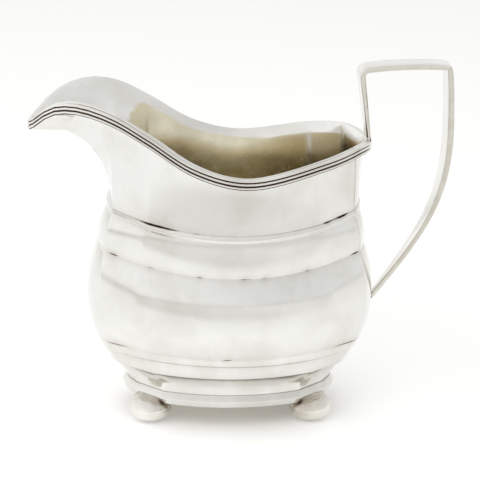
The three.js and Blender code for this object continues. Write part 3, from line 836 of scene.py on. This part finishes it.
def build_plate():
    low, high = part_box("base_plate")
    edge = moved(BASE_EDGE, -WALL, low.z / MM - BASE_Z)
    rows = [outline(edge), outline(moved(edge, 0, (high.z - low.z) / MM))]
    depths = np.full((2, len(TURNS)), PLATE_TARNISH)
    plate = make_solid("bottom_plate", rows, depths, PLATE_HAZE, "silver_plate_inside", "base_plate")
    finish(plate, PLATE_SILVER)


build_base_ring()
build_socle()
build_belly()
build_neck()
build_rim_wires()
build_handle_bar()
build_handle_leg()
build_feet()
build_plate()


# ------------------------------------------------------------------ floor, light and camera
FLOOR_SIZE = 4.0         # half its side, in metres, as are all lengths on the floor
FLOOR_WHITE = (0.97, 0.97, 0.965)
# Painted shade on the floor before and beside the jug, which only the silver mirrors:
FLOOR_FRONT = ((0.74, 0.735, 0.715), (0.83, 0.825, 0.81))       # left and right
FLOOR_SIDES = ((0.93, 0.93, 0.925), (0.89, 0.885, 0.87))
WEDGE_START = -0.5       # y of the point of the wedge that stays white, close to the camera
WEDGE_SPREAD = 0.17
# Painted light: the floor glows near the jug, lifting the jug's shadow on it.
GLOW = (0.04, 0.11, 0.12)        # full out to here, none beyond here, strength


def floor_colour(tree, x, y):
    """Near white inside the wedge that the camera sees, and a greyer painted shade beside it and before the
    jug, where only the silver reflects it."""
    front = mix_colours(tree, remap(tree, x, 0.0, 0.2), *FLOOR_FRONT)
    sides = mix_colours(tree, remap(tree, x, -0.1, 0.1), *FLOOR_SIDES)
    around = mix_colours(tree, remap(tree, y, -0.17, -0.1), front, sides)
    spread = calculate(tree, "MULTIPLY", calculate(tree, "ADD", y, -WEDGE_START), WEDGE_SPREAD)
    aside = remap(tree, calculate(tree, "SUBTRACT", calculate(tree, "ABSOLUTE", x, 0), spread), 0.02, 0.12)
    before = remap(tree, y, -0.06, -0.13)
    return mix_colours(tree, calculate(tree, "MAXIMUM", aside, before), FLOOR_WHITE, around)


def build_floor():
    mesh = bpy.data.meshes.new("floor")
    corners = [(-1, -1, 0), (1, -1, 0), (1, 1, 0), (-1, 1, 0)]
    mesh.from_pydata([Vector(corner) * FLOOR_SIZE for corner in corners], [], [(0, 1, 2, 3)])
    floor = bpy.data.objects.new("floor", mesh)
    bpy.context.scene.collection.objects.link(floor)
    material = bpy.data.materials.new("pale_floor")
    material.use_nodes = True
    tree = material.node_tree
    shader = tree.nodes["Principled BSDF"]
    place = add_node(tree, "ShaderNodeTexCoord").outputs["Object"]
    split = add_node(tree, "ShaderNodeSeparateXYZ")
    reach = add_node(tree, "ShaderNodeVectorMath", operation="LENGTH")
    link_chain(tree, (place, split.inputs[0]), (place, reach.inputs[0]))
    colour = floor_colour(tree, split.outputs[0], split.outputs[1])
    # Painted light: a glow round the jug that lifts its shadow on the floor.
    near, far, strength = GLOW
    glow = remap(tree, reach.outputs["Value"], near, far, strength, 0.0)
    link_chain(tree, (colour, shader.inputs["Base Color"]), (glow, shader.inputs["Emission Strength"]))
    shader.inputs["Roughness"].default_value = 0.7
    shader.inputs["Specular IOR Level"].default_value = 0.1
    shader.inputs["Emission Color"].default_value = (1, 1, 1, 1)
    mesh.materials.append(material)


def build_world():
    """A pale studio, brighter to the left, behind the jug and along its horizon than overhead."""
    world = bpy.data.worlds.new("studio")
    bpy.context.scene.world = world
    world.use_nodes = True
    tree = world.node_tree
    way = add_node(tree, "ShaderNodeSeparateXYZ")
    link_chain(tree, (add_node(tree, "ShaderNodeTexCoord").outputs["Generated"], way.inputs[0]))
    to_right, to_back, up = way.outputs
    glow = remap(tree, up, 0.0, 0.7, 0.97, 0.9)
    glow = calculate(tree, "MULTIPLY", glow, remap(tree, to_right, -0.9, 0.6, 1.14, 0.92))
    glow = calculate(tree, "MULTIPLY", glow, remap(tree, to_back, -0.8, 0.8, 0.94, 1.02))
    background = tree.nodes["Background"]
    background.inputs["Color"].default_value = (1.0, 1.0, 0.99, 1)
    link_chain(tree, (glow, background.inputs["Strength"]))


LIGHT_PLACE = (-0.3, -0.45, 1.0)
LIGHT_TARGET = (-0.05, 0.05, 0)
LIGHT_SIZE = 1.4
LIGHT_POWER = 4.4


def build_light():
    """One soft light overhead. It lights the floor, and the silver doesn't mirror it."""
    light = bpy.data.lights.new("overhead", "AREA")
    light.shape = "DISK"
    light.size = LIGHT_SIZE
    light.energy = LIGHT_POWER
    lamp = bpy.data.objects.new("overhead", light)
    bpy.context.scene.collection.objects.link(lamp)
    lamp.location = LIGHT_PLACE
    lamp.rotation_mode = "QUATERNION"
    lamp.rotation_quaternion = (Vector(LIGHT_TARGET) - Vector(LIGHT_PLACE)).to_track_quat("-Z", "Y")
    lamp.visible_glossy = False


CAMERA_AIM = (0.4, 0, 57.5)
CAMERA_DISTANCE = 526.9
CAMERA_ANGLES = (-3.8, 17.1, 1.1)        # azimuth, elevation and roll, in degrees
CAMERA_LENS = 120.8


def build_camera():
    aim = Vector(CAMERA_AIM) * MM
    distance = CAMERA_DISTANCE * MM
    azimuth, elevation, roll = (math.radians(angle) for angle in CAMERA_ANGLES)
    back = Vector((math.sin(azimuth) * math.cos(elevation), -math.cos(azimuth) * math.cos(elevation),
                   math.sin(elevation)))
    data = bpy.data.cameras.new("camera")
    data.sensor_width = 36
    data.lens = CAMERA_LENS
    data.clip_start = 0.01
    camera = bpy.data.objects.new("camera", data)
    bpy.context.scene.collection.objects.link(camera)
    turn = (-back).to_track_quat("-Z", "Y").to_matrix() @ Matrix.Rotation(roll, 3, "Z")
    camera.matrix_world = Matrix.Translation(aim + back * distance) @ turn.to_4x4()
    bpy.context.scene.camera = camera


build_floor()
build_world()
build_light()
build_camera()
bpy.context.scene.view_settings.view_transform = "Standard"
